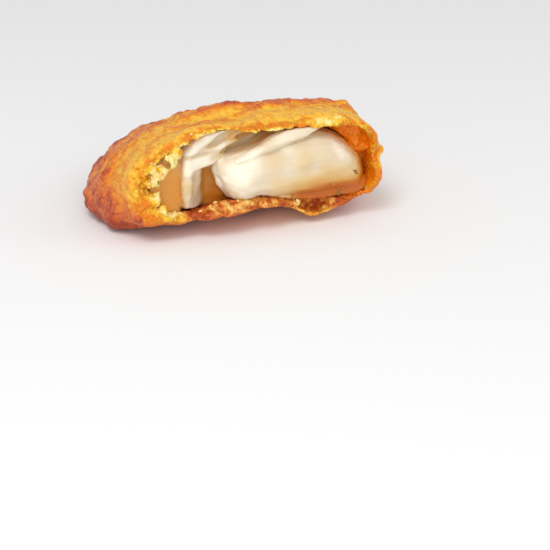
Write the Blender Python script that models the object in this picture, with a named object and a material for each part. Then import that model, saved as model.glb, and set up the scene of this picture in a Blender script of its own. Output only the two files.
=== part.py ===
"""Half of a battered, deep-fried fish fillet, broken across the middle, in metres with +Z up.

Two solids: the puffed batter, a thick-walled cup that is closed at the back and open at the break, and the
fish inside it, which runs from the closed end to the break and shows its big flakes there.
The break faces -Y. While it is modelled, y is 0 at the break and z is 0 at the flat spot that the piece lies
on. At the end everything is moved so that the origin is at the bottom centre of the whole piece.
"""

import math

import bmesh
import bpy
import numpy as np
from mathutils import Matrix, Vector

# Driving dimensions of the whole half fillet
LENGTH = 0.083
WIDTH = 0.102
HEIGHT = 0.040

# Form along the length
CAP_START = 0.018  # from here back the section rounds off to the closed end
CAP_POWER = 2.4
CROWN_FALL = 0.020  # how far the top slopes down over the length, before the rounding
MOUTH_RIGHT = 0.0012  # the break is this far to the right of the middle
LEAN = 0.075  # the closed end leans this share of its distance to the left
MOUTH_PINCH = 0.06  # the section is this share narrower at the break
MOUTH_REACH = 0.016  # how far back the form of the break fades into that of the body
SIDE_HEIGHT = 0.0095  # height of the widest part of the section at the closed end
SIDE_LIFT = 0.0120  # how much higher that is at the break
SIDE_REACH = 0.025
LIP_RISE = 0.0045  # the lower lip stands off the ground by about this
LIP_ARCH = 0.0055  # and by this much more in the middle
ARCH_MIDDLE = -0.002
ARCH_REACH = 0.020
LIP_REACH = 0.015
BELLY_SINK = 0.0012  # the belly is cut flat this far up, which makes the flat spot

# Form of the section: a superellipse, with a power for each quarter at the break and in the body
MOUTH_POWERS = {"upper_right": 3.6, "upper_left": 2.5, "lower_left": 2.9, "lower_right": 3.6}
BODY_POWERS = {"upper_right": 2.4, "upper_left": 1.9, "lower_left": 4.0, "lower_right": 3.0}

# Batter wall
WALL_TOP = 0.0036
WALL_BOTTOM = 0.0036
WALL_LEFT = 0.0085
WALL_RIGHT = 0.0050
WALL_END = 0.0055
CAVITY_POWER = 0.9  # the cavity is this much squarer than the outer skin
CLEARANCE = 0.0005  # between the fish and the batter around it
TEAR_CREST = 0.0008  # the middle of the torn wall stands this far in front of its edges

# Swellings of the batter: place, reach and height
RIDGE = (Vector((0.012, 0.024, 0.038)), Vector((0.032, 0.008, 0.012)), 0.0032)
SHOULDER = (Vector((0.040, 0.021, 0.036)), Vector((0.018, 0.015, 0.012)), 0.0060)
LEFT_FLANK = (Vector((-0.046, 0.036, 0.005)), Vector((0.014, 0.020, 0.012)), 0.0030)
BELLY_LOBE = (Vector((-0.043, 0.013, 0.002)), Vector((0.015, 0.013, 0.010)), 0.0038)
BURST_BLISTER = (Vector((0.0225, 0.001, 0.006)), Vector((0.007, 0.005, 0.006)), 0.0030)
SWELLINGS = (RIDGE, SHOULDER, LEFT_FLANK, BELLY_LOBE, BURST_BLISTER)

# Waves over the batter: wavelengths along x, y and z, phase and height
WAVES = (
    (0.047, 0.061, 0.055, 0.4, 0.00075),
    (0.029, -0.033, 0.041, 2.1, 0.00050),
    (-0.019, 0.023, 0.027, 4.4, 0.00032),
    (0.016, 0.013, -0.019, 1.2, 0.00022),
)

# Flakes at the break: centre, half sizes and turn about the length, then about the height, in degrees
FRONT_FLAKE = (Vector((0.0143, 0.0050, 0.0204)), Vector((0.0290, 0.0095, 0.0108)), -3.0, 0.0)
UPPER_FLAKE = (Vector((0.0040, 0.0080, 0.0323)), Vector((0.0250, 0.0085, 0.0038)), 8.5, 0.0)
RIGHT_FLAKE = (Vector((0.0310, 0.0085, 0.0245)), Vector((0.0125, 0.0085, 0.0085)), -40.0, 0.0)
STANDING_FLAKE = (Vector((-0.0238, 0.0085, 0.0245)), Vector((0.0048, 0.0080, 0.0145)), 3.0, -22.0)
BACK_FLAKE = (Vector((-0.0100, 0.0135, 0.0330)), Vector((0.0160, 0.0080, 0.0032)), 14.0, 0.0)
FLAKES = (FRONT_FLAKE, UPPER_FLAKE, RIGHT_FLAKE, STANDING_FLAKE, BACK_FLAKE)
FLAKE_POWER = 2.5
FLESH_FRONT = 0.0095  # behind the flakes the fish is whole from here back
FLESH_OVERHANG = 0.0065  # how far the flakes may stand out of the break

# Fineness of the meshes
ROUND_STEPS = 72
OUTER_RINGS = 24
INNER_RINGS = 15
FLAKE_STEPS = 26


def signed_power(value, power):
    return np.sign(value) * np.abs(value) ** power


def fullness(y, length):
    """The share of the full section left at y: 1 up to CAP_START, then rounding off to 0 at the closed end."""
    t = np.clip((y - CAP_START) / (length - CAP_START), 0, 1)
    return (1 - t**CAP_POWER) ** (1 / CAP_POWER)


def mouth(y, reach):
    """1 at the break, fading to 0 behind it."""
    return np.exp(-np.maximum(y, 0) / reach)


def quarter_power(across, upright, y):
    """The power of the section's superellipse in the quarter that the point lies in."""
    near, far = MOUTH_POWERS, BODY_POWERS
    share = mouth(y, MOUTH_REACH)
    power = {name: far[name] + (near[name] - far[name]) * share for name in near}
    upper = np.where(across > 0, power["upper_right"], power["upper_left"])
    lower = np.where(across > 0, power["lower_right"], power["lower_left"])
    return np.where(upright > 0, upper, lower)


def lip_lift(x, y):
    """How far the lower lip stands off the ground: most in the middle, least at the far left where the belly hangs."""
    side = np.clip((x + WIDTH / 2) / 0.016, 0, 1)
    arch = LIP_ARCH * np.exp(-(((x - ARCH_MIDDLE) / ARCH_REACH) ** 2))
    return (LIP_RISE + arch) * np.exp(-((np.maximum(y, 0) / LIP_REACH) ** 2)) * side**2 * (3 - 2 * side)


def section(angle, y, inset=0.0, length=LENGTH):
    """x and z of the smooth section at angle and y. Inset is 0 for the outer skin and 1 for the cavity wall."""
    full = fullness(y, length)
    centre_x = MOUTH_RIGHT - LEAN * y
    centre_z = SIDE_HEIGHT + SIDE_LIFT * mouth(y, SIDE_REACH)
    half = WIDTH / 2 * (1 - MOUTH_PINCH * mouth(y, MOUTH_REACH))
    crown = HEIGHT - CROWN_FALL * (np.maximum(y, 0) / LENGTH) ** 1.6
    right = half - inset * WALL_RIGHT
    left = half - inset * WALL_LEFT
    up = crown - centre_z - inset * WALL_TOP
    down = centre_z + BELLY_SINK - inset * (WALL_BOTTOM + BELLY_SINK)
    across, upright = np.cos(angle), np.sin(angle)
    power = quarter_power(across, upright, y) + inset * CAVITY_POWER
    x = centre_x + full * np.where(across > 0, right, left) * signed_power(across, 2 / power)
    share = signed_power(upright, 2 / power)
    z = centre_z + full * np.where(upright > 0, up, down) * share
    z += np.where(upright > 0, 0, -share * full * lip_lift(x, y))
    return x, z, centre_x, centre_z


def relief(x, y, z):
    """Height of the batter's lumps over the smooth section."""
    height = np.zeros_like(x)
    for along_x, along_y, along_z, phase, size in WAVES:
        height += size * np.sin(2 * math.pi * (x / along_x + y / along_y + z / along_z) + phase)
    for place, reach, size in SWELLINGS:
        far = ((x - place.x) / reach.x) ** 2 + ((y - place.y) / reach.y) ** 2 + ((z - place.z) / reach.z) ** 2
        height += size * np.exp(-far)
    return height


def skin_ring(angle, y):
    """One ring of the outer skin, lumps included, cut flat where it rests."""
    x, z, centre_x, centre_z = section(angle, y)
    away = np.hypot(x - centre_x, z - centre_z)
    swell = 1 + relief(x, y, z) * fullness(y, LENGTH) / np.maximum(away, 0.004)
    x = centre_x + (x - centre_x) * swell
    z = centre_z + (z - centre_z) * swell
    return np.stack([x, y, np.maximum(z, 0)], axis=1)


def cavity_ring(angle, y, clearance=0.0):
    """One ring of the cavity's wall, or of the fish that fills it when a clearance is left."""
    x, z, centre_x, centre_z = section(angle, y, inset=1, length=LENGTH - WALL_END)
    away = np.hypot(x - centre_x, z - centre_z)
    shrink = 1 - clearance / np.maximum(away, 2 * clearance + 1e-6)
    return np.stack([centre_x + (x - centre_x) * shrink, y, centre_z + (z - centre_z) * shrink], axis=1)


def torn_edge(angle):
    """y of the batter's torn outer edge: the top stands back, the lower left lip juts forward."""
    sweep = 0.0036 * np.sin(angle - 0.43)
    tears = 0.0007 * np.sin(5 * angle + 0.9) + 0.0006 * np.sin(9 * angle + 2.0) + 0.0004 * np.sin(14 * angle)
    return 0.001 + sweep + tears


def tear_slope(angle):
    """How far the inner edge of the torn wall stands in front of the outer edge."""
    return 0.0008 + 0.0022 * np.sin(angle)


def mesh_object(name, rings, ends, colour, roughness):
    """A closed mesh through rings of points, with a single point before the first ring and after the last."""
    mesh = bmesh.new()
    loops = [[mesh.verts.new(point) for point in ring] for ring in rings]
    first, last = (mesh.verts.new(point) for point in ends)
    count = len(loops[0])
    for i in range(count):
        j = (i + 1) % count
        mesh.faces.new((first, loops[0][i], loops[0][j]))
        for near, far in zip(loops, loops[1:]):
            mesh.faces.new((near[i], far[i], far[j], near[j]))
        mesh.faces.new((last, loops[-1][j], loops[-1][i]))
    bmesh.ops.recalc_face_normals(mesh, faces=mesh.faces)
    data = bpy.data.meshes.new(name)
    mesh.to_mesh(data)
    mesh.free()
    data.shade_smooth()
    made = bpy.data.objects.new(name, data)
    bpy.context.scene.collection.objects.link(made)
    data.materials.append(material(name, colour, roughness))
    return made


def material(name, colour, roughness):
    made = bpy.data.materials.new(name)
    made.use_nodes = True
    shader = made.node_tree.nodes["Principled BSDF"]
    shader.inputs["Base Color"].default_value = (*colour, 1)
    shader.inputs["Roughness"].default_value = roughness
    return made


def ring_places(count):
    """Shares of the way from the break to the closed end, with the rings closer together at the end."""
    return [math.cos(math.pi / 2 * (i + 0.6) / (count + 0.6 - 1)) for i in range(count)]


def cavity_rings(angle, clearance=0.0):
    """The rings of the cavity from its deep end to the inner torn edge."""
    inner_edge = torn_edge(angle) - tear_slope(angle)
    deep = LENGTH - WALL_END
    return [cavity_ring(angle, inner_edge + (deep - inner_edge) * share, clearance) for share in ring_places(INNER_RINGS)]


def cavity_tip(clearance=0.0):
    deep = LENGTH - WALL_END
    return (MOUTH_RIGHT - LEAN * deep, deep - clearance, SIDE_HEIGHT)


def batter():
    """The batter: outer skin from the closed end to the break, the torn edge, then the cavity's wall back in."""
    angle = np.linspace(0, 2 * math.pi, ROUND_STEPS, endpoint=False)
    outer_edge = torn_edge(angle)
    rings = [skin_ring(angle, outer_edge + (LENGTH - outer_edge) * share) for share in ring_places(OUTER_RINGS)]
    walls = cavity_rings(angle)
    crest = (rings[-1] + walls[-1]) / 2
    crest[:, 1] = np.minimum(rings[-1][:, 1], walls[-1][:, 1]) - TEAR_CREST
    tips = ((MOUTH_RIGHT - LEAN * LENGTH, LENGTH, SIDE_HEIGHT), cavity_tip())
    return mesh_object("batter", [*rings, crest, *reversed(walls)], tips, (0.62, 0.25, 0.06), 0.5)


def fish_mould():
    """The room that the fish may fill: the cavity less the clearance, carried forward past the break."""
    angle = np.linspace(0, 2 * math.pi, ROUND_STEPS, endpoint=False)
    front = cavity_ring(angle, np.full_like(angle, -FLESH_OVERHANG), CLEARANCE)
    tips = (cavity_tip(CLEARANCE), (0, -FLESH_OVERHANG, SIDE_HEIGHT))
    return mesh_object("fish", [*cavity_rings(angle, CLEARANCE), front], tips, (0.86, 0.80, 0.68), 0.35)


def superellipsoid(name, centre, half_sizes, roll, turn, power=FLAKE_POWER):
    """A rounded slab, turned about the length (roll) and then about the height (turn), in degrees."""
    mesh = bmesh.new()
    bmesh.ops.create_uvsphere(mesh, u_segments=FLAKE_STEPS, v_segments=FLAKE_STEPS // 2, radius=1)
    for vertex in mesh.verts:
        size = sum(abs(c) ** power for c in vertex.co) ** (1 / power)
        vertex.co = Vector(c * h / size for c, h in zip(vertex.co, half_sizes))
    spin = Matrix.Rotation(math.radians(turn), 4, "Z") @ Matrix.Rotation(-math.radians(roll), 4, "Y")
    bmesh.ops.transform(mesh, matrix=Matrix.Translation(centre) @ spin, verts=mesh.verts)
    data = bpy.data.meshes.new(name)
    mesh.to_mesh(data)
    mesh.free()
    made = bpy.data.objects.new(name, data)
    bpy.context.scene.collection.objects.link(made)
    made.hide_render = True
    made.display_type = "WIRE"
    return made


def flesh_mass():
    """The flakes at the break joined to the whole flesh behind them, still wider than the cavity."""
    rear = LENGTH / 2 + 0.010
    middle = Vector((0, FLESH_FRONT + rear, SIDE_HEIGHT))
    mass = superellipsoid("flesh_mass", middle, Vector((WIDTH, rear, HEIGHT)), 0, 0, power=6)
    for number, flake in enumerate(FLAKES):
        join = mass.modifiers.new(f"flake_{number}", "BOOLEAN")
        join.operation = "UNION"
        join.object = superellipsoid(f"flake_{number}", *flake)
    return mass


def fish():
    """The fish: its flakes and flesh, kept to the room that the batter leaves."""
    made = fish_mould()
    trim = made.modifiers.new("flesh", "BOOLEAN")
    trim.operation = "INTERSECT"
    trim.object = flesh_mass()
    return made


def stand_on_origin(objects):
    """Moves the meshes so that the origin is at the bottom centre of the whole piece."""
    points = np.array([vertex.co for vertex in objects[0].data.vertices])
    low, high = points.min(axis=0), points.max(axis=0)
    shift = Vector(((low[0] + high[0]) / -2, (low[1] + high[1]) / -2, -low[2]))
    for each in bpy.data.objects:
        each.location = shift


for old in list(bpy.data.objects):
    bpy.data.objects.remove(old)
crust = batter()
filling = fish()
stand_on_origin([crust, filling])
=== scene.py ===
import math

import bpy
import numpy as np
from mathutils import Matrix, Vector


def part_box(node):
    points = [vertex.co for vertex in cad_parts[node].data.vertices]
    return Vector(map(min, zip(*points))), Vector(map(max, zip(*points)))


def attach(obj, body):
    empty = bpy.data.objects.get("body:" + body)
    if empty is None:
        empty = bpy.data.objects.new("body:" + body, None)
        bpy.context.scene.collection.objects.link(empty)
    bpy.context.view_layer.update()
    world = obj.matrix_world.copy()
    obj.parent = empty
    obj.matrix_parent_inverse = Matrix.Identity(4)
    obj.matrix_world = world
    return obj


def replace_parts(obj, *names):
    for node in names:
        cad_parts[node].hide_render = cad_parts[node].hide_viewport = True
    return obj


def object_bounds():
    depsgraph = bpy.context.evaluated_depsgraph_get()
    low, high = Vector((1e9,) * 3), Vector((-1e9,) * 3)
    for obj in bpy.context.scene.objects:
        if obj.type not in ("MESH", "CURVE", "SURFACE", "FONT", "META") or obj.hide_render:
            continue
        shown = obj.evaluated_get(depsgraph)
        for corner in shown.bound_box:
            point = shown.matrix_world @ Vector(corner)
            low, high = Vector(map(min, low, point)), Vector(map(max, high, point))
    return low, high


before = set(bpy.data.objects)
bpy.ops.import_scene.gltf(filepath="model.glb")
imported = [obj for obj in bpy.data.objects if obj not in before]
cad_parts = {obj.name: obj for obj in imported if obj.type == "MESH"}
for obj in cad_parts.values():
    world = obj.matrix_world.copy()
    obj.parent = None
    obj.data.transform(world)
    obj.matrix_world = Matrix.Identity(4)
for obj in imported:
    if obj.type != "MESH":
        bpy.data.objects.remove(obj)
cad_low, cad_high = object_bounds()

# The batter: a crust of puffed flour batter, deep-fried until golden, thick and hollow where steam blew it
# up. It is a cup, closed at the back and torn open at the break. It is meshed where a field of distances, in
# mm, passes through zero: inside the skin, outside the cavity, and behind the torn edge.
LENGTH = 83.0  # from the break to the closed end, along y
HALF_WIDTH = 51.0
HEIGHT = 40.0
NARROWED = 0.06  # how much narrower the break is than the body, as a share
CENTRE_X = 1.2  # the middle of the section at the break, and how far it drifts left for each mm behind it
DRIFT = 0.075
LOW_CENTRE = 9.5  # height of the section's middle at the back, and how much higher it is at the break
CENTRE_RISE = 12.0
CROWN_DROP = 20.0  # how much lower the crown is at the closed end
CAP_START = 18.0  # where the sides begin to close
CAP_POWER = 2.4
MOUTH_REACH = 16.0  # how far behind the break its own section fades into the body's
WALL_LEFT = 8.5
WALL_RIGHT = 5.0
WALL_TOP = 3.6
WALL_BOTTOM = 3.0
WALL_END = 5.5
BELLY_SINK = 1.2  # how much of the round belly is pressed flat
MOUTH_POWERS = (3.6, 2.5, 2.9, 3.6)  # squareness: upper right, upper left, lower left, lower right
BODY_POWERS = (2.4, 1.9, 4.0, 3.0)
ZERO_X = 0.00148  # where x of these sizes starts, in metres

batter_low, batter_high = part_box("batter")
MIDDLE = Vector((ZERO_X, batter_high.y - LENGTH / 1000, batter_low.z))


def faded(y, reach):
    """1 at the break, fading to 0 behind it."""
    return np.exp(-np.maximum(y, 0) / reach)


def bell(value, middle, reach, power=2):
    """1 at the middle, falling smoothly to 0 on both sides."""
    return np.exp(-(((value - middle) / reach) ** power))


def smoothstep(low, high, value):
    """0 up to low, 1 from high on, and smooth between them."""
    t = np.clip((value - low) / (high - low), 0, 1)
    return t * t * (3 - 2 * t)


def lip_lift(x, y):
    """How far the lower lip stands off the ground: most in the middle, least at the far left."""
    side = np.clip((x + HALF_WIDTH) / 16, 0, 1)
    arch = 4.5 + 5.5 * bell(x, -2, 20)
    return arch * bell(np.maximum(y, 0), 0, 15) * side**2 * (3 - 2 * side)


def quarters(x, y, z, inset):
    """Each point's place across and up the section: 1 is the skin, or the cavity's wall at an inset of 1."""
    centre_x = CENTRE_X - DRIFT * y
    centre_z = LOW_CENTRE + CENTRE_RISE * faded(y, 25.0)
    half = HALF_WIDTH * (1 - NARROWED * faded(y, MOUTH_REACH))
    crown = HEIGHT - CROWN_DROP * (np.maximum(y, 0) / LENGTH) ** 1.6
    up = crown - centre_z - inset * WALL_TOP
    down = centre_z + BELLY_SINK - inset * (WALL_BOTTOM + BELLY_SINK) - lip_lift(x, y)
    across = (x - centre_x) / np.where(x > centre_x, half - inset * WALL_RIGHT, half - inset * WALL_LEFT)
    upright = (z - centre_z) / np.where(z > centre_z, up, down)
    return across, upright


def outline(x, y, z, inset=0.0, length=LENGTH):
    """A field that is negative inside the smooth form and 0 on it, very roughly in mm."""
    middle_depth = 20
    across, upright = quarters(x, y, z, inset)
    share = faded(y, MOUTH_REACH)
    squarer = 0.9 * inset
    power = [body + (mouth - body) * share + squarer for body, mouth in zip(BODY_POWERS, MOUTH_POWERS)]
    right = np.where(upright > 0, power[0], power[3])
    left = np.where(upright > 0, power[1], power[2])
    power = np.where(across > 0, right, left)
    ring = (np.abs(across) ** power + np.abs(upright) ** power) ** (1 / power)
    back = np.clip((y - CAP_START) / (length - CAP_START), 0, None)
    return ((ring**CAP_POWER + back**CAP_POWER) ** (1 / CAP_POWER) - 1) * middle_depth


def to_distance(field, grid):
    """The field turned into millimetres near the place where it is 0."""
    steepness, flattest = np.sqrt(sum(slope**2 for slope in np.gradient(field, *grid))), 0.15
    return field / np.maximum(steepness, flattest)


def lumps(x, y, z, size, seed):
    """Smooth noise from -1 to 1, in lumps of about that size in mm."""
    cells_across = 32
    lattice = np.random.default_rng(seed).uniform(-1, 1, (cells_across,) * 3)
    turned = (0.80 * x + 0.48 * y + 0.36 * z, -0.60 * x + 0.64 * y + 0.48 * z, -0.60 * y + 0.80 * z)
    cells, fades = [], []
    for line in turned:
        cell = np.floor(line / size)
        part = line / size - cell
        cells.append(cell.astype(np.int32) % cells_across)
        fades.append(part**3 * (part * (part * 6 - 15) + 10))
    total = 0
    for corner in np.ndindex(2, 2, 2):
        weight = 1
        for fade, step in zip(fades, corner):
            weight = weight * (fade if step else 1 - fade)
        place = tuple((cell + step) % cells_across for cell, step in zip(cells, corner))
        total = total + weight * lattice[place]
    return total * 1.5


def relief(x, y, z):
    """Height of the crust's large lumps over the smooth form."""
    height, waviness, let_in = 0, 0.75, 0.3
    for along_x, along_y, along_z, phase, size in (
        (47, 61, 55, 0.4, 0.75),
        (29, -33, 41, 2.1, 0.50),
        (-19, 23, 27, 4.4, 0.32),
        (16, 13, -19, 1.2, 0.22),
    ):
        turns = x / along_x + y / along_y + z / along_z
        height = height + waviness * size * np.sin(2 * math.pi * turns + phase)
    for (px, py, pz), (rx, ry, rz), size in (
        ((10, 24, 38), (34, 8, 12), 2.7),  # the ridge along the top
        ((-8, 23, 38), (15, 9, 12), 1.7),  # its left end
        ((-15, 2, 40), (16, 9, 10), 1.9),  # the lift over the thin flakes
        ((39, 21, 36), (18, 15, 12), 4.3),  # the shoulder at the upper right
        ((50, 2, 12), (8, 10, 7), -0.9),  # a dip under it
        ((-24, 33, 35), (18, 14, 10), 1.6),  # the slope behind it
        ((-46, 49, 19), (15, 17, 10), -2.8),  # a dip above the left flank
        ((-44, 64, 13), (12, 15, 9), -3.6),  # and one at the back, where the end rounds off
        ((-52, 32, 6), (13, 15, 9), 3.6),  # the lobe that hangs at the lower left
        ((-44, 18, 0), (15, 14, 6), 1.6),  # and its foot
        ((22.5, 1, 6), (7, 5, 6), 3.2),  # the blister under the lower lip
        ((7, 0, 8), (9, 7, 6), -1.0),  # the thin lip beside it
        ((50.5, 2, 23.4), (2.0, 2.4, 2.0), 2.2),  # a drop of batter at the right of the break
        ((43.4, 19, 38), (2.6, 4.0, 2.6), 2.2),  # a nick's edge at the upper right
    ):
        height = height + size * np.exp(-(((x - px) / rx) ** 2) - ((y - py) / ry) ** 2 - ((z - pz) / rz) ** 2)
    return height - let_in


def skin_of(x, y, z, grid):
    """Distance from the skin of the crust."""
    return to_distance(outline(x, y, z), grid) - relief(x, y, z)


def cavity_of(x, y, z, grid, skin):
    """Distance from the wall of the cavity. The crust is thinner at the upper left and right of the break."""
    cavity = to_distance(outline(x, y, z, inset=1.0, length=LENGTH - WALL_END), grid)
    thinned = 2.9 * bell(x, -14, 13) * smoothstep(26, 35, z) * smoothstep(14, 4, y)
    thinned = thinned + 1.2 * smoothstep(32, 42, x) * smoothstep(8, 14, z) * smoothstep(14, 6, y)
    return np.maximum(cavity - thinned, skin + 2.0 * smoothstep(12, 22, y) + 0.8)


def torn_edge(angle):
    """y of the torn skin: the top stands back, the lower left lip juts forward."""
    tears = 0.7 * np.sin(5 * angle + 0.9) + 0.6 * np.sin(9 * angle + 2.0) + 0.4 * np.sin(14 * angle)
    return 1.0 + 3.6 * np.sin(angle - 0.43) + tears


def tear_lean(angle):
    """How far the wall's inner edge stands in front of its skin, where it is torn."""
    return 1.6 + 2.6 * np.sin(angle)


def smooth_max(a, b, reach):
    """The larger of two fields, with the corner between them rounded."""
    near = np.clip(0.5 + 0.5 * (a - b) / reach, 0, 1)
    return b + (a - b) * near + reach * near * (1 - near)


def net(field, grid):
    """Points and four-cornered faces where the field is 0, with one point in each cell that it passes."""
    inside = field < 0
    corners = list(np.ndindex(2, 2, 2))
    cut = [slice(None, -1), slice(1, None)]
    full = sum(inside[cut[i], cut[j], cut[k]].astype(np.int8) for i, j, k in corners)
    cells = np.argwhere((full > 0) & (full < 8))
    number = np.full(full.shape, -1, np.int32)
    number[tuple(cells.T)] = np.arange(len(cells))
    total, crossings = np.zeros((len(cells), 3)), np.zeros(len(cells))
    for near in corners:
        for axis in range(3):
            if near[axis]:
                continue
            far = tuple(1 if i == axis else near[i] for i in range(3))
            a, b = (cells + np.array(c) for c in (near, far))
            fa, fb = field[tuple(a.T)], field[tuple(b.T)]
            crossed = (fa < 0) != (fb < 0)
            part = np.where(crossed, fa / np.where(crossed, fa - fb, 1), 0)
            for i in range(3):
                start, end = grid[i][a[:, i]], grid[i][b[:, i]]
                total[:, i] += np.where(crossed, start + (end - start) * part, 0)
            crossings += crossed
    points = total / crossings[:, None]
    faces = []
    for axis in range(3):
        one, two = (axis + 1) % 3, (axis + 2) % 3
        low = tuple(slice(None, -1) if i == axis else slice(1, -1) for i in range(3))
        high = tuple(slice(1, None) if i == axis else slice(1, -1) for i in range(3))
        for leaving in (True, False):
            edges = np.argwhere((inside[low] == leaving) & (inside[high] != leaving))
            edges[:, one] += 1
            edges[:, two] += 1
            ring = []
            for step_one, step_two in ((-1, -1), (0, -1), (0, 0), (-1, 0)):
                cell = edges.copy()
                cell[:, one] += step_one
                cell[:, two] += step_two
                ring.append(number[tuple(cell.T)])
            quads = np.stack(ring, axis=1)
            faces.append(quads if leaving else quads[:, ::-1])
    return points, np.concatenate(faces)


def largest(points, faces):
    """Only the biggest connected piece of a net."""
    label = np.arange(len(points))
    while True:
        low = label[faces].min(axis=1)
        spread = label.copy()
        for i in range(4):
            np.minimum.at(spread, faces[:, i], low)
        spread = spread[spread]
        if (spread == label).all():
            break
        label = spread
    kept = label == np.bincount(label).argmax()
    return points[kept], (np.cumsum(kept) - 1)[faces[kept[faces[:, 0]]]]


def point_normals(points, faces):
    """The way each point of a net faces."""
    a, b, c, d = (points[faces[:, i]] for i in range(4))
    across = np.cross(c - a, d - b)
    total = np.stack(
        [sum(np.bincount(faces[:, i], across[:, k], len(points)) for i in range(4)) for k in range(3)], axis=1
    )
    return total / np.maximum(np.linalg.norm(total, axis=1, keepdims=True), 1e-12)


def relaxed(points, faces, rounds, strength=0.5):
    """The points moved towards the middle of their neighbours, to take out the grid's steps."""
    for _ in range(rounds):
        total, count = np.zeros_like(points), np.zeros(len(points))
        for i in range(4):
            here, there = faces[:, i], faces[:, (i + 1) % 4]
            for k in range(3):
                total[:, k] += np.bincount(here, points[there, k], len(points))
                total[:, k] += np.bincount(there, points[here, k], len(points))
            count += np.bincount(here, minlength=len(points)) + np.bincount(there, minlength=len(points))
        points = points + strength * (total / np.maximum(count, 1)[:, None] - points)
    return points


def piece_from(name, points, faces, marks=None):
    """A smooth-shaded object from points in mm and faces, with numbers per point kept as attributes."""
    mesh = bpy.data.meshes.new(name)
    mesh.from_pydata(points / 1000 + np.array(MIDDLE), [], faces)
    for mark, values in (marks or {}).items():
        attribute = mesh.attributes.new(mark, "FLOAT", "POINT")
        attribute.data.foreach_set("value", np.asarray(values, np.float32))
    mesh.shade_smooth()
    made = bpy.data.objects.new(name, mesh)
    bpy.context.scene.collection.objects.link(made)
    return made


CLOSE = 0.5  # mm between the grid's lines at the break
FAR = 9.0  # a distance that counts as nowhere near
batter_grid = (
    np.arange(-54.5, 54.6, CLOSE),
    np.concatenate([np.arange(-9, 9, CLOSE), np.arange(9, 24, 0.75), np.arange(24, 87, 1.05)]),
    np.arange(-1.2, 45, CLOSE),
)
gx, gy, gz = np.meshgrid(*batter_grid, indexing="ij", sparse=True)
skin_depth = np.maximum(skin_of(gx, gy, gz, batter_grid), -gz)
cavity_depth = cavity_of(gx, gy, gz, batter_grid, skin_depth)
across, upright = quarters(gx, gy, gz, 0.5)
angle = np.arctan2(upright, across)

# Near the break the cavity's wall is fluffy crumb, most of all at the left, where the batter is thickest. It
# is calmer low at the left, and smooth where it thins out over the flakes.
front = batter_grid[1] < 15
fx, fy, fz = np.meshgrid(batter_grid[0], batter_grid[1][front], batter_grid[2], indexing="ij")
coarse, medium, fine = (lumps(fx, fy, fz, size, seed) for size, seed in ((6.5, 1), (2.9, 2), (1.5, 3)))
fluff = np.zeros_like(skin_depth)
puffed = (0.35 + 0.65 * smoothstep(5, -35, fx)) * (1 - smoothstep(30, 34, fz) * bell(fx, -14, 16, 4))
calm = smoothstep(-24, -32, fx) * smoothstep(25, 19, fz)
puffed = puffed * (1 - 0.6 * calm)
crumb = (0.9 * coarse + 0.8 * np.abs(medium) + 0.35 * np.abs(fine) - 0.5) * puffed
fluff[:, front] = crumb * smoothstep(13, 6, fy)
cavity_depth = cavity_depth + fluff

wall_share = np.clip(-skin_depth / np.maximum(np.maximum(cavity_depth, 0) - skin_depth, 0.5), 0, 1)
edge = torn_edge(angle) - tear_lean(angle) * wall_share
ragged = np.zeros_like(skin_depth)
ragged[:, front] = (1.0 * coarse + 0.9 * medium + 0.55 * fine) * (1 - 0.65 * calm)
lower = smoothstep(0.2, 0.8, -np.sin(angle)) * smoothstep(-30, -22, gx)
edge = edge + ragged * (0.35 + 0.65 * wall_share + 0.5 * lower) - 0.9 * np.sin(math.pi * wall_share)

# Hollows that steam left in the torn wall, each with its middle and half sizes: a tall one at the left with
# two small ones beside it, a burst blister under the lower lip, and small ones all round.
MOUTH_X = 1  # the middle of the break, and half its width and height
MOUTH_Z = 21.5
MOUTH_HALVES = (48, 18)
SMALL_HOLLOWS = 38
HOLLOW_RING = (46, 17.0)  # half sizes of the ring on which the small hollows lie
SMALL_CLOTS = 7
CLOT_RING = (40, 15.0)
BLISTER_X = 22.3
hollows = [
    ((-42.3, -1.2, 21.5), (2.5, 3.4, 5.2)),
    ((-37.6, 1.0, 23.6), (1.0, 4.0, 1.0)),
    ((-38.2, 1.0, 20.6), (1.3, 4.0, 0.9)),
    ((BLISTER_X, -0.4, 6.6), (6.0, 4.8, 3.9)),
]
chance = np.random.default_rng(7)
for _ in range(SMALL_HOLLOWS):
    turn = chance.uniform(0, 2 * math.pi)
    thick = 0.5 + 0.5 * max(0.0, -math.cos(turn))
    size = chance.uniform(0.5, 1.3) * (0.6 + 0.8 * thick)
    reach = chance.uniform(0.88, 0.97)
    depth = chance.uniform(-1.5, 3.5)
    ring_x, ring_z = HOLLOW_RING
    place = (MOUTH_X + ring_x * reach * math.cos(turn), depth, MOUTH_Z + ring_z * reach * math.sin(turn))
    hollows.append((place, (size, size * 1.5, size)))
pocket_field = np.full(fx.shape, FAR)
for (px, py, pz), (rx, ry, rz) in hollows:
    reach = np.sqrt(((fx - px) / rx) ** 2 + ((fy - py) / ry) ** 2 + ((fz - pz) / rz) ** 2)
    pocket_field = np.minimum(pocket_field, (reach - 1) * min(rx, ry, rz))
pockets = np.full(skin_depth.shape, FAR)
pockets[:, front] = pocket_field + 0.25 * fine
pockets = np.maximum(pockets, skin_depth + 1.2)

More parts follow.
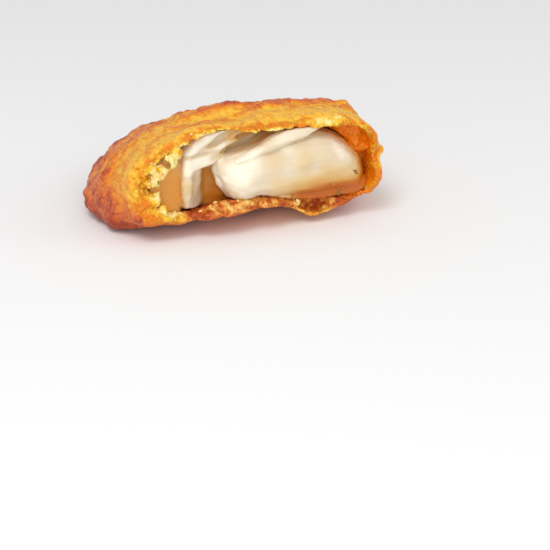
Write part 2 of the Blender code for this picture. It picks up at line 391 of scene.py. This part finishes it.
# Clots of fluffy crumb that cling to the inner edge, over the fish, each with its middle and radius
clots = [
    ((-32.6, 0.6, 29.8), 2.6),
    ((-36.0, 0.6, 27.0), 2.6),
    ((-29.6, 1.4, 33.0), 2.0),
    ((-38.6, 0.4, 16.0), 1.9),
    ((-36.0, 0.0, 13.0), 1.7),
    ((-32.4, -0.6, 10.9), 1.5),
    ((-28.6, -1.5, 10.4), 1.4),
    ((41.0, 8.5, 31.0), 5.0),
    ((42.5, 8.0, 25.0), 4.5),
    ((36.0, 9.0, 35.0), 4.5),
]
for _ in range(SMALL_CLOTS):
    turn = chance.uniform(math.radians(140), math.radians(186))
    depth = chance.uniform(-0.5, 2.5)
    ring_x, ring_z = CLOT_RING
    place = (MOUTH_X + ring_x * math.cos(turn), depth, MOUTH_Z - 0.5 + ring_z * math.sin(turn))
    clots.append((place, chance.uniform(1.1, 1.9)))
clot_field = np.full(fx.shape, FAR)
for (px, py, pz), size in clots:
    reach = np.sqrt((fx - px) ** 2 + (fy - py) ** 2 + (fz - pz) ** 2) - size
    clot_field = -smooth_max(-clot_field, -reach, 0.8)
clotted = np.full(skin_depth.shape, FAR)
clotted[:, front] = clot_field + 0.45 * medium + 0.30 * fine

# The crust itself: each step cuts or adds with a small rounding, in mm
body = smooth_max(skin_depth, -cavity_depth, 0.4)
body = smooth_max(body, edge - gy, 0.7)
body = -smooth_max(-body, -np.maximum(clotted, skin_depth), 0.5)
body = smooth_max(body, -pockets, 0.3)
points, faces = largest(*net(body, batter_grid))
points = relaxed(points, faces, 2)
normals = point_normals(points, faces)
x, y, z = points.T


def at_points(values, grid, points):
    """The grid's values at points, read between its lines."""
    index, part = [], []
    for i, line in enumerate(grid):
        cell = np.clip(np.searchsorted(line, points[:, i]) - 1, 0, len(line) - 2)
        index.append(cell)
        part.append(np.clip((points[:, i] - line[cell]) / (line[cell + 1] - line[cell]), 0, 1))
    total = 0
    for corner in np.ndindex(2, 2, 2):
        weight = 1
        for share, step in zip(part, corner):
            weight = weight * (share if step else 1 - share)
        total = total + weight * values[tuple(cell + step for cell, step in zip(index, corner))]
    return total


depth_here = at_points(skin_depth, batter_grid, points)
edge_here = at_points(edge, batter_grid, points)
share_here = at_points(wall_share, batter_grid, points)
pocket_here = at_points(pockets, batter_grid, points)
turn_here = np.arctan2((z - MOUTH_Z) / MOUTH_HALVES[1], (x - MOUTH_X) / MOUTH_HALVES[0])
sideways, upwards = np.cos(turn_here), np.sin(turn_here)
skin = smoothstep(-1.3, -0.15, depth_here + 0.5 * lumps(x, y, z, 1.6, 16))
behind = y - torn_edge(turn_here) + tear_lean(turn_here) * share_here

# The tone of the torn crumb, from 0, pale, to 1, deep golden, deepened with painted shade behind the torn
# edge and in the hollows. Along the lower lip it is toasted instead, darkest near its two ends and lightest
# in the blister, whose hollow is lifted with painted light.
at_left = smoothstep(-25, -33, x)
in_hollow = smoothstep(1.0, 0.3, pocket_here)
beside_hollow = smoothstep(0.3, 1.0, pocket_here)
blistered = bell(x, BLISTER_X, 6.5, 4)
toasted = smoothstep(-0.25, -0.7, upwards) * smoothstep(-30, -25, x) * smoothstep(42, 30, x)
# The lower lip is darker near its two ends; inside the blister's hollow it is made lighter, painted light
# against its shade.
lip_darkness = 1.3 * bell(x, -23.5, 3.0) + 1.2 * smoothstep(28, 33, x) - 1.1 * blistered * in_hollow
lip_tone = 0.75 * lip_darkness - 0.65 * blistered * beside_hollow + 0.25 * lumps(x, y, z, 3.0, 19)
recess = sum((
    0.14,
    # painted shade deep behind the edge and in the hollows
    (0.70 - 0.45 * at_left) * smoothstep(0.5, 6.0, behind),  # deep behind the edge
    (0.30 - 0.12 * at_left) * smoothstep(0.9, 0.1, pocket_here),  # in the hollows
    0.52 * smoothstep(0.45, 0.95, sideways),  # at the right
    0.22 * lumps(x, y, z, 5.0, 18) * smoothstep(0.1, 0.6, sideways),
    0.26 * smoothstep(0.1, 0.7, upwards),  # above
    0.30 * lumps(x / 4, y, z, 1.7, 17) * smoothstep(0.3, 0.7, upwards),
    0.34 * smoothstep(0.8, 0.3, share_here),  # next to the skin
    0.34 * at_left * smoothstep(20, 14, z),
    -0.14 * smoothstep(5, 16, x) * smoothstep(29, 33, z),
    -0.40 * bell(x, -32, 4.5) * smoothstep(15, 11, z),  # pale where the lower lip starts
    -(0.28 + 0.12 * smoothstep(19, 25, z)) * smoothstep(-24, -29, x) * smoothstep(0.68, 0.98, share_here),
    toasted * lip_tone,
))

# Blisters and wrinkles of the fried skin, coarser towards the back
blister = lumps(x, y, z, 6.0, 11)
pimple = lumps(x, 0.65 * y, z, 2.6, 12)
streaked = bell(y, 19, 9) * smoothstep(27, 33, z) * smoothstep(-34, -14, x)
streak = lumps(x / 5, y, z, 2.2, 14) * streaked
craggy = smoothstep(18, 36, y)
bump_height = (0.34 + 0.30 * craggy) * blister + (0.30 + 0.24 * craggy) * np.abs(pimple) + 0.50 * streak
resting = smoothstep(0.3, 2.0, z)
raised = skin * resting * bump_height + (1 - skin) * 0.25 * lumps(x, y, z, 1.1, 15)
points = points + normals * raised[:, None]
points[:, 2] = np.maximum(points[:, 2], 0)

# How far each place is browned: the ridge, the lower left and the underside most, the rim of the break least
past_edge = y - edge_here
mottled = 0.05 + 0.26 * lumps(x, y, z, 17.0, 13) + 0.40 * (np.abs(pimple) - 0.25) + 0.14 * blister
brown = sum((
    0.25 + 0.08 * blister + 0.08 * pimple,
    0.40 * bell(y, 25, 7) * smoothstep(29, 37, z) * smoothstep(-28, 0, x),  # the ridge
    0.30 * streak,
    0.42 * smoothstep(22, 6, z) * smoothstep(34, -28, x),  # low down, towards the left
    0.30 * smoothstep(8, 0, z),
    0.16 * smoothstep(-25, -48, x) * smoothstep(30, 10, z),
    0.35 * smoothstep(27, 33, x) * smoothstep(13, 6, z),  # the right end of the lower lip
    -0.30 * smoothstep(8, 0, past_edge) * smoothstep(10, 20, z),
    -0.22 * smoothstep(13, 6, past_edge) * smoothstep(26, 32, z) * smoothstep(-16, 0, x),
    -0.50 * blistered * smoothstep(4, 0.5, past_edge) * smoothstep(11, 7, z),
    craggy * mottled,
))
crumbly = smoothstep(0.6, 0.2, skin) * smoothstep(6, 3, y) * smoothstep(0.25, 0.6, share_here)
crumbly = crumbly * (0.6 * smoothstep(-15, -30, x) * smoothstep(17, 23, z) + 0.4 * toasted * (1 - blistered))
marks = {
    "skin": skin,
    "browning": np.clip(brown, 0, 1),
    "recess": np.clip(recess, 0, 1),
    "toasted": toasted,
    "crumbly": crumbly,
}
batter = piece_from("batter_crust", points, faces, marks)

# The cavity's wall around the fish is out of sight, so its net is made coarser
out_of_sight = (y > 20) & (depth_here < -1.5)
hidden_wall = batter.vertex_groups.new(name="hidden_wall")
hidden_wall.add(np.flatnonzero(out_of_sight).tolist(), 1.0, "REPLACE")
thinner = batter.modifiers.new("thinner", "DECIMATE")
thinner.vertex_group = "hidden_wall"
thinner.ratio = 0.75
batter.data = bpy.data.meshes.new_from_object(batter.evaluated_get(bpy.context.evaluated_depsgraph_get()))
batter.modifiers.clear()
batter.data.name = "batter_crust"


class Shade:
    """A number that changes over a surface. Sums, products and the like add their Math nodes."""

    def __init__(self, finish, socket):
        self.finish = finish
        self.socket = socket

    def _with(self, operation, first, second):
        return self.finish.node("ShaderNodeMath", {"operation": operation}, {0: first, 1: second})

    def __add__(self, other):
        return self._with("ADD", self, other)

    def __radd__(self, other):
        return self._with("ADD", other, self)

    def __sub__(self, other):
        return self._with("SUBTRACT", self, other)

    def __rsub__(self, other):
        return self._with("SUBTRACT", other, self)

    def __mul__(self, other):
        return self._with("MULTIPLY", self, other)

    def __rmul__(self, other):
        return self._with("MULTIPLY", other, self)


class Finish:
    """One material: a Principled shader whose fixed values are set on it, and the nodes that feed it."""

    def __init__(self, name, fixed):
        self.material = bpy.data.materials.new(name)
        self.material.use_nodes = True
        self.tree = self.material.node_tree
        self.shader = self.tree.nodes["Principled BSDF"]
        self.set(self.shader, fixed)

    def set(self, target, values):
        """Values are set on the node's sockets, and shades are linked to them."""
        for key, value in values.items():
            if isinstance(value, Shade):
                self.tree.links.new(value.socket, target.inputs[key])
            else:
                target.inputs[key].default_value = value

    def node(self, kind, settings=None, sockets=None, out=0):
        """The output of a new node, after its settings and then its sockets are set."""
        made = self.tree.nodes.new(kind)
        for key, value in (settings or {}).items():
            if key == "stops":
                while len(made.color_ramp.elements) < len(value):
                    made.color_ramp.elements.new(1)
                for element, (place, colour) in zip(made.color_ramp.elements, value):
                    element.position = place
                    element.color = (*colour, 1)
            else:
                setattr(made, key, value)
        self.set(made, sockets or {})
        return Shade(self, made.outputs[out])

    def mark(self, name):
        """A number kept per point of the mesh."""
        return self.node("ShaderNodeAttribute", {"attribute_name": name}, out="Fac")

    def place(self):
        return self.node("ShaderNodeTexCoord", out="Object")

    def speckle(self, size, detail=2.0, rough=0.5, stretch=(1, 1, 1)):
        """Noise around 0.5, with spots of about that size in mm."""
        scaled = self.node("ShaderNodeMapping", None, {"Vector": self.place(), "Scale": stretch})
        sockets = {"Vector": scaled, "Scale": 1000 / size, "Detail": detail, "Roughness": rough}
        return self.node("ShaderNodeTexNoise", None, sockets)

    def ramp(self, amount, stops):
        return self.node("ShaderNodeValToRGB", {"stops": stops}, {"Fac": amount})

    def mix(self, amount, first, second):
        """From the first colour, at 0, to the second, at 1."""
        settings = {"data_type": "RGBA", "blend_type": "MIX", "clamp_factor": True}
        return self.node("ShaderNodeMix", settings, {0: amount, 6: first, 7: second}, out=2)

    def bump(self, height, reach_mm, strength=1.0):
        sockets = {"Height": height, "Distance": reach_mm / 1000, "Strength": strength}
        return self.node("ShaderNodeBump", None, sockets)


def tint(red, green, blue):
    """A colour as the eye reads it, 0 to 255, as the linear values a shader takes."""
    shares = [value / 255 for value in (red, green, blue)]
    return tuple(((share + 0.055) / 1.055) ** 2.4 if share > 0.04 else share / 12.92 for share in shares)


# Golden to brown skin, and the torn crumb in its own two tones; both are freckled by frying
crust = Finish("fried_batter", {
    "Specular IOR Level": 0.34,
    "Subsurface Weight": 0.10,
    "Subsurface Scale": 0.0025,
    "Subsurface Radius": (1.0, 0.45, 0.15),
    "Coat Weight": 0.06,
    "Coat Roughness": 0.35,
})
drawn_out = (1, 0.65, 1)
patches = crust.speckle(8.0)
spots = crust.speckle(2.8, stretch=drawn_out)
grains = crust.speckle(1.2, detail=1.0, stretch=drawn_out)
done = crust.mark("browning") + (patches - 0.5) * 0.80 + (spots - 0.5) * 0.80 + (grains - 0.5) * 0.70
fried = crust.ramp(done, [
    (0.00, tint(250, 190, 56)),
    (0.25, tint(240, 158, 32)),
    (0.50, tint(228, 128, 34)),
    (0.75, tint(206, 90, 34)),
    (1.00, tint(158, 56, 24)),
])
crumb_tone = crust.mark("recess") + (spots - 0.5) * 1.3 + (grains - 0.5) * 0.7
crumb_colour = crust.ramp(crumb_tone, [
    (0.00, tint(250, 228, 152)),
    (0.28, tint(242, 196, 52)),
    (0.55, tint(230, 154, 20)),
    (0.78, tint(216, 126, 4)),
    # the deepest tone is lighter again: painted light on the shaded inner wall
    (1.00, tint(240, 126, 0)),
])
toast_tone = crust.mark("recess") * 0.7 + (spots - 0.5) * 1.5 + (grains - 0.5) * 0.8 + 0.32
toast_colour = crust.ramp(toast_tone, [
    (0.10, tint(250, 206, 116)),
    (0.45, tint(228, 152, 66)),
    (0.75, tint(194, 92, 16)),
    (1.00, tint(170, 66, 16)),
])
crumb_colour = crust.mix(crust.mark("toasted"), crumb_colour, toast_colour)
colour = crust.mix(crust.mark("skin"), crumb_colour, fried)
crust.set(crust.shader, {
    "Base Color": colour,
    "Normal": crust.bump(spots * 0.5 + grains * 0.5, reach_mm=2.0),
    "Roughness": 0.54 - spots * 0.2,
})
batter.data.materials.append(crust.material)
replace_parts(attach(batter, "root"), "batter")

# The fish: a thick piece of cooked white fish that runs from the closed end to the break, where it has parted
# into big flakes. Each flake is its outline at the break, in mm across and up, with a domed front. They are
# joined with sharp creases, furrowed between the thin ones, and kept to the room inside the batter.
flakes = (
    # outline; how far back its front stands; slope of the front across and up; dome; roundness of its edge
    # the big one in the middle
    ([(-13.9, 21.5), (-14.2, 24.4), (-12.6, 27.2), (-9, 28.6), (-3, 29.8), (8, 31.6), (18, 33.2), (26, 33.8),
      (32, 32.4), (37, 29.4), (41, 25), (44, 19), (45, 12), (42, 7.5), (24, 8.4), (12, 10.2), (-2, 10.3),
      (-6.4, 10.2), (-9.2, 12.1), (-11.6, 15.4), (-13.2, 18.6)],
     -4.4, 0.03, 0.04, 5.5, 7.0),
    # the long one that lies on it
    ([(-10.5, 27.0), (-6, 29.2), (0, 31.3), (7, 33.9), (13, 36.4), (20, 39), (29, 39), (26.5, 35.5),
      (20, 32.3), (10, 30.0), (0, 27.8), (-7, 26.4)],
     -2.1, 0.05, 0.20, 1.6, 1.6),
    # the stained foot under it
    ([(-5, 8.6), (-5, 13.0), (10, 13.4), (26, 14), (44.6, 15), (44.6, 5), (20, 5)],
     -2.5, 0.0, 0.1, 0.8, 2.6),
    # the upright one at the left, bent over at its top
    ([(-26.6, 9.4), (-27.9, 14), (-27.8, 21), (-27.2, 27), (-25.8, 32), (-22.8, 36.2), (-17, 39), (-10, 41),
      (-13, 37.5), (-19, 33.5), (-22.0, 28), (-22.6, 20), (-22.8, 12.5), (-24, 9.4)],
     1.0, 0.12, -0.02, 1.6, 2.6),
    # its side, which turns back into the gap
    ([(-24, 9), (-24.6, 24), (-20, 26), (-14, 26), (-14, 9)],
     7.6, 1.05, 0.0, 0.0, 1.0),
    # the thin ones under the crust, above the gap
    ([(-25, 23), (-24, 30), (-20, 37), (-8, 41), (6, 41), (9, 36.5), (0, 32.5), (-8, 29.4), (-13, 26.6),
      (-15.4, 25.2), (-19, 24.4)],
     3.6, 0.16, -0.10, 0.8, 1.3),
)
furrows = (
    # middle, half sizes, lean in degrees, softness
    ((-12.2, 3.4, 34.8), (6.2, 2.6, 1.1), 21, 1.3),
    ((-4.6, 5.4, 31.6), (7.5, 3.2, 1.2), 17, 1.3),
    ((-19.4, 2.8, 30.2), (3.6, 1.2, 0.45), 4, 1.0),
    ((0.0, 5.4, 35.4), (6.0, 2.2, 0.6), 8, 1.0),
    ((-6.6, -2.2, 26.4), (2.2, 1.0, 0.45), 12, 0.3),
)
CLOSER = 0.45  # mm between the grid's lines at the flakes
fish_grid = (
    np.arange(-45.5, 47.6, CLOSER),
    np.concatenate([np.arange(-7, 14, CLOSER), np.arange(14, 24, 1.0), np.arange(24, 82, 2.0)]),
    np.arange(1.5, 40, CLOSER),
)
gx, gy, gz = np.meshgrid(*fish_grid, indexing="ij", sparse=True)


def within(x, z, corners):
    """Distance across and up from a closed outline, negative inside it."""
    shape = np.broadcast(x, z).shape
    nearest = np.full(shape, 1e6)
    odd = np.zeros(shape, bool)
    for (ax, az), (bx, bz) in zip(corners, corners[1:] + corners[:1]):
        ex, ez = bx - ax, bz - az
        along = np.clip(((x - ax) * ex + (z - az) * ez) / (ex * ex + ez * ez), 0, 1)
        nearest = np.minimum(nearest, (x - ax - ex * along) ** 2 + (z - az - ez * along) ** 2)
        crossed = ((az > z) != (bz > z)) & (x < (z - az) * ex / (ez if ez else 1e-9) + ax)
        odd = odd ^ crossed
    return np.where(odd, -1, 1) * np.sqrt(nearest)


def smooth_min(a, b, reach):
    return -smooth_max(-a, -b, reach)


def softened(field, rounds):
    """A flat field with each value drawn towards its four neighbours."""
    for _ in range(rounds):
        wide = np.pad(field, 1, mode="edge")
        field = (2 * field + wide[2:, 1:-1] + wide[:-2, 1:-1] + wide[1:-1, 2:] + wide[1:-1, :-2]) / 6
    return field


# Behind the flakes the flesh stands back: least at the left, most at the upper right, where the crust stands
# off it. Each flake's outline is softened and its front is domed over the outer 9 mm.
DOME_REACH = 9.0
CREASE = 0.35
flesh = 10.5 - 6.0 * smoothstep(-25, -28, gx) + 6.0 * smoothstep(28, 36, gx + 0.6 * (gz - 24)) - gy
flesh = flesh - 9.0 * smoothstep(37, 41, gx) * smoothstep(27, 21, gz)
for corners, front, slope_x, slope_z, dome, roundness in flakes:
    reach_in = softened(within(gx, gz, corners)[:, 0], int(4 * roundness))[:, None]
    middle_x, middle_z = np.mean(corners, axis=0)
    rise = dome * (1 - np.clip(-reach_in / DOME_REACH, 0, 1)) ** 2
    face = front + slope_x * (gx - middle_x) + slope_z * (gz - middle_z) + rise - gy
    flesh = smooth_min(flesh, smooth_max(reach_in, face, roundness), CREASE)
furrowed = np.full(flesh.shape, FAR)
for (px, py, pz), (rx, ry, rz), lean, softness in furrows:
    c, s = math.cos(math.radians(lean)), math.sin(math.radians(lean))
    across, above = c * (gx - px) + s * (gz - pz), c * (gz - pz) - s * (gx - px)
    reach = np.sqrt((across / rx) ** 2 + ((gy - py) / ry) ** 2 + (above / rz) ** 2)
    furrow = (reach - 1) * rz
    flesh = smooth_max(flesh, -furrow, softness)
    furrowed = np.minimum(furrowed, furrow / softness)
room = cavity_of(gx, gy, gz, fish_grid, np.maximum(skin_of(gx, gy, gz, fish_grid), -gz)) + 0.3
flesh = smooth_max(flesh, room, 0.8)
points, faces = largest(*net(flesh, fish_grid))
points = relaxed(points, faces, 3)
normals = point_normals(points, faces)
x, y, z = points.T
fibres = lumps(x / 5, y, z, 1.6, 21)
swells = lumps(x, y, z, 7.0, 22)
ripples = lumps(x / 2, y, z, 3.2, 23)
in_front = smoothstep(16, 12, y)
points = points + normals * (in_front * (0.16 * fibres + 0.55 * swells + 0.20 * ripples))[:, None]
furrow_here = at_points(furrowed, fish_grid, points)
groove = smoothstep(1.2, 0.1, furrow_here)
over_slope = z - 0.15 * x  # height over the line where the long flake meets the big one

# How far each place is browned, from 0, white, to 1, brown: partly oil stain, and partly painted shade in the
# gaps and furrows, on the big flake away from its lit left end, and towards its foot
gap_behind = smoothstep(2.4, 4.0, y) * smoothstep(-25.5, -29, x)
stain = sum((
    # painted shade in the gap left of the upright flake
    0.40 * gap_behind,  # left of the upright flake
    # painted shade, growing deeper into the gap
    0.34 * smoothstep(8.0, 10.5, y) * (0.2 + 0.8 * smoothstep(30, 26, z)),  # deep in the gap
    0.40 * smoothstep(6.0, 10.5, y) * smoothstep(26, 21, z) * smoothstep(-23, -19, x),
    0.26 * smoothstep(27, 20, z) * smoothstep(-19, -21, x),
    # painted shade in the valley above the long flake and in the furrows
    0.26 * smoothstep(2.5, 5, y) * smoothstep(-13, -7, x) * smoothstep(27, 31, z),  # above the long flake
    0.32 * groove,
    # painted shade: a little on the long flake, more on the big one away from its lit left end
    0.06 * smoothstep(28.5, 31.5, over_slope) * smoothstep(-6, 4, x),
    0.20 * smoothstep(31.5, 28.5, over_slope) * smoothstep(-10, 6, x),  # the big flake, most at its foot
    # browner towards the foot of the big flake: partly oil stain, partly painted shade
    0.55 * smoothstep(25, 12, z) * smoothstep(0, 34, x),
    0.50 * smoothstep(17, 11, z) * smoothstep(12, 28, x),
    0.50 * smoothstep(15.5, 12.5, z) * smoothstep(8, 20, x),
    0.30 * smoothstep(-2.5, 2, y) * smoothstep(30, 40, x),
    0.10 * swells,
))
# A golden tint in the gap left of the upright flake and on the flesh behind the upper right
oiled = gap_behind + 0.7 * smoothstep(2, 6, y) * smoothstep(28, 36, x + 0.3 * (z - 24))

# Where dark flecks lie: a few on the foot of the big flake, and in three places more
flecked = 0.08 * smoothstep(4, 1, y) * smoothstep(18, 12, z) * smoothstep(10, 26, x)
for px, pz, reach in ((30, 13.8, 2.6), (39, 17.4, 1.6), (13.2, 11.8, 1.0)):
    flecked = flecked + smoothstep(4, 1, y) * np.exp(-(((x - px) / reach) ** 2) - ((z - pz) / 1.3) ** 2)
marks = {"stain": np.clip(stain, 0, 1), "oiled": np.clip(oiled, 0, 1), "flecked": flecked}
fish = piece_from("fish_flakes", points, faces, marks)

# Moist white flesh with fine threads along each flake, browned at its edges by oil stain and by painted shade
flesh_finish = Finish("cooked_white_fish", {
    "Roughness": 0.42,
    "Specular IOR Level": 0.45,
    "Subsurface Weight": 0.35,
    "Subsurface Scale": 0.004,
    "Subsurface Radius": (1.0, 0.75, 0.5),
    "Coat Weight": 0.12,
    "Coat Roughness": 0.3,
})
threads = flesh_finish.speckle(1.1, detail=3.0, rough=0.6, stretch=(0.15, 1, 1))
clouds = flesh_finish.speckle(9.0)
amount = flesh_finish.mark("stain") + (threads - 0.5) * 0.10 + (clouds - 0.5) * 0.12
flesh_colour = flesh_finish.ramp(amount, [
    (0.00, tint(248, 239, 218)),
    (0.16, tint(224, 208, 180)),
    (0.32, tint(222, 196, 148)),
    (0.52, tint(212, 166, 96)),
    (0.76, tint(198, 124, 30)),
    (1.00, tint(190, 98, 8)),
])
golden_colour = (*tint(228, 158, 60), 1)
flesh_colour = flesh_finish.mix(flesh_finish.mark("oiled") * 0.8, flesh_colour, golden_colour)
flesh_finish.set(flesh_finish.shader, {
    "Base Color": flesh_colour,
    "Normal": flesh_finish.bump(threads, reach_mm=0.35, strength=0.5),
})
fish.data.materials.append(flesh_finish.material)
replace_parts(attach(fish, "root"), "fish")

# Crumbs of torn batter that cling to the break: lumpy grains of pale, dry crumb. They are scattered by a tree
# of nodes, where the weight on the surface under them allows.
scatter = bpy.data.node_groups.new("scattered_grains", "GeometryNodeTree")
scatter.is_modifier = True
inputs = {}
for label, kind in (
    ("Ground", "NodeSocketGeometry"),
    ("Weight", "NodeSocketString"),
    ("Grains per square metre", "NodeSocketFloat"),
    ("Smallest", "NodeSocketVector"),
    ("Largest", "NodeSocketVector"),
    ("Seed", "NodeSocketInt"),
    ("Finish", "NodeSocketMaterial"),
):
    socket = scatter.interface.new_socket(label, in_out="INPUT", socket_type=kind)
    inputs[label] = socket.identifier
scatter.interface.new_socket("Grains", in_out="OUTPUT", socket_type="NodeSocketGeometry")


def grown(kind, settings=None, sockets=None):
    """A node of the scatter tree, with its settings and the values or links of its sockets."""
    made = scatter.nodes.new(kind)
    for key, value in (settings or {}).items():
        setattr(made, key, value)
    for key, value in (sockets or {}).items():
        if isinstance(value, bpy.types.NodeSocket):
            scatter.links.new(value, made.inputs[key])
        else:
            made.inputs[key].default_value = value
    return made


given = grown("NodeGroupInput").outputs
weight = grown("GeometryNodeInputNamedAttribute", {"data_type": "FLOAT"}, {"Name": given["Weight"]})
density = grown("ShaderNodeMath", {"operation": "MULTIPLY"}, {
    0: weight.outputs[0],
    1: given["Grains per square metre"],
})
spots_on = grown("GeometryNodeDistributePointsOnFaces", None, {
    "Mesh": given["Ground"],
    "Density": density.outputs[0],
    "Seed": given["Seed"],
})

# One grain: a ball pushed out of shape by noise
ball = grown("GeometryNodeMeshIcoSphere", None, {"Radius": 1.0, "Subdivisions": 2})
knobs = grown("ShaderNodeTexNoise", None, {"Scale": 1.3, "Detail": 1.0})
centred = grown("ShaderNodeVectorMath", {"operation": "SUBTRACT"}, {
    0: knobs.outputs["Color"],
    1: (0.5, 0.5, 0.5),
})
pushed = grown("ShaderNodeVectorMath", {"operation": "SCALE"}, {0: centred.outputs[0], "Scale": 1.6})
grain = grown("GeometryNodeSetPosition", None, {
    "Geometry": ball.outputs["Mesh"],
    "Offset": pushed.outputs[0],
})

# Each grain is turned its own way and has its own size
all_round = (6.28, 6.28, 6.28)
turned = grown("FunctionNodeRandomValue", {"data_type": "FLOAT_VECTOR"}, {
    "Min": (0.0, 0.0, 0.0),
    "Max": all_round,
    "Seed": given["Seed"],
})
sized = grown("FunctionNodeRandomValue", {"data_type": "FLOAT_VECTOR"}, {
    "Min": given["Smallest"],
    "Max": given["Largest"],
    "Seed": given["Seed"],
})
placed = grown("GeometryNodeInstanceOnPoints", None, {
    "Points": spots_on.outputs["Points"],
    "Instance": grain.outputs[0],
    "Rotation": turned.outputs[0],
    "Scale": sized.outputs[0],
})
whole = grown("GeometryNodeRealizeInstances", None, {"Geometry": placed.outputs[0]})
smoothed = grown("GeometryNodeSetShadeSmooth", None, {"Geometry": whole.outputs[0]})
finished = grown("GeometryNodeSetMaterial", None, {
    "Geometry": smoothed.outputs[0],
    "Material": given["Finish"],
})
grown("NodeGroupOutput", None, {"Grains": finished.outputs[0]})


def scattered(name, ground, settings):
    """Grains on a piece, as one plain mesh, from the values of the tree's inputs. Sizes are in metres."""
    maker = bpy.data.objects.new(name + "_maker", ground.data)
    bpy.context.scene.collection.objects.link(maker)
    modifier = maker.modifiers.new("scatter", "NODES")
    modifier.node_group = scatter
    for label, value in settings.items():
        modifier[inputs[label]] = value
    ready = maker.evaluated_get(bpy.context.evaluated_depsgraph_get())
    mesh = bpy.data.meshes.new_from_object(ready)
    mesh.name = name
    bpy.data.objects.remove(maker)
    made = bpy.data.objects.new(name, mesh)
    bpy.context.scene.collection.objects.link(made)
    return made


crumb_finish = Finish("torn_crumb", {
    "Roughness": 0.65,
    "Specular IOR Level": 0.3,
    "Subsurface Weight": 0.2,
    "Subsurface Scale": 0.0015,
})
crumb_finish.set(crumb_finish.shader, {
    "Base Color": crumb_finish.ramp(crumb_finish.speckle(3.0), [
        (0.30, tint(250, 230, 164)),
        (0.50, tint(244, 198, 104)),
        (0.70, tint(220, 136, 50)),
    ]),
})
crumbs = scattered("torn_crumbs", batter, {
    "Weight": "crumbly",
    "Grains per square metre": 90000.0,
    "Smallest": (0.0005, 0.0004, 0.0003),
    "Largest": (0.0014, 0.0011, 0.0008),
    "Seed": 3,
    "Finish": crumb_finish.material,
})
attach(crumbs, "root")

# Dark flecks of overdone flour that lie on the fish: thin brown grains of dry crust. The same tree scatters
# them over the foot of the big flake.
fleck_finish = Finish("dark_fleck", {"Roughness": 0.5})
fleck_finish.set(fleck_finish.shader, {
    "Base Color": fleck_finish.ramp(fleck_finish.speckle(2.0, detail=1.0), [
        (0.35, tint(138, 96, 38)),
        (0.65, tint(180, 124, 56)),
    ]),
})
flecks = scattered("dark_flecks", fish, {
    "Weight": "flecked",
    "Grains per square metre": 170000.0,
    "Smallest": (0.0004, 0.0003, 0.0002),
    "Largest": (0.0017, 0.0006, 0.0003),
    "Seed": 5,
    "Finish": fleck_finish.material,
})
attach(flecks, "root")

# The stage: a plain white floor just under the food, pale light all round, and three soft lights. The
# strongest comes from the upper left, a wide one from low in front, and a weak one from the right.
FLOOR_REACH = 3.0
FLOOR_GAP = 0.0002
corners = [(-FLOOR_REACH, -FLOOR_REACH, 0), (FLOOR_REACH, -FLOOR_REACH, 0), (FLOOR_REACH, FLOOR_REACH, 0),
           (-FLOOR_REACH, FLOOR_REACH, 0)]
floor_mesh = bpy.data.meshes.new("floor")
floor_mesh.from_pydata(corners, [], [(0, 1, 2, 3)])
floor = bpy.data.objects.new("floor", floor_mesh)
bpy.context.scene.collection.objects.link(floor)
floor.location.z = cad_low.z - FLOOR_GAP
paper = Finish("white_floor", {
    "Base Color": (0.92, 0.92, 0.92, 1),
    "Roughness": 0.9,
    "Specular IOR Level": 0.1,
})
floor_mesh.materials.append(paper.material)

world = bpy.data.worlds.new("studio")
bpy.context.scene.world = world
world.use_nodes = True
sky = world.node_tree.nodes["Background"]
sky.inputs["Color"].default_value = (1.0, 1.0, 1.0, 1)
sky.inputs["Strength"].default_value = 0.60
lit_spot = Vector((0, 0, 0.02))
for name, place, size, power in (
    ("key", (-0.45, -0.50, 0.95), 0.5, 4.3),
    ("front", (-0.35, -0.9, 0.40), 0.8, 3.1),
    ("fill", (0.8, -0.5, 0.5), 0.6, 1.0),
):
    light = bpy.data.lights.new(name, "AREA")
    light.size = size
    light.energy = power
    lamp = bpy.data.objects.new(name, light)
    lamp.location = place
    lamp.rotation_euler = (lit_spot - Vector(place)).to_track_quat("-Z", "Y").to_euler()
    bpy.context.scene.collection.objects.link(lamp)

# The camera looks a little down on the break, from its left, through a long lens. It stands away from the
# food along "towards", and aims below it, so that the food is high in the picture.
TURNED_BY = math.radians(22)
LOOKS_DOWN_BY = math.radians(20)
DISTANCE = 0.7
LENS = 127
level = math.cos(LOOKS_DOWN_BY)
right = Vector((math.cos(TURNED_BY), -math.sin(TURNED_BY), 0))
towards = Vector((right.y * level, -right.x * level, math.sin(LOOKS_DOWN_BY)))
upward = towards.cross(right)
seen = MIDDLE + Vector((0, 0, 0.019))
aim = seen + right * 0.0065 - upward * 0.0342
camera_data = bpy.data.cameras.new("camera")
camera_data.lens = LENS
camera = bpy.data.objects.new("camera", camera_data)
camera.location = seen + towards * DISTANCE
camera.rotation_euler = (aim - camera.location).to_track_quat("-Z", "Y").to_euler()
bpy.context.scene.collection.objects.link(camera)
bpy.context.scene.camera = camera
bpy.context.scene.view_settings.view_transform = "Standard"
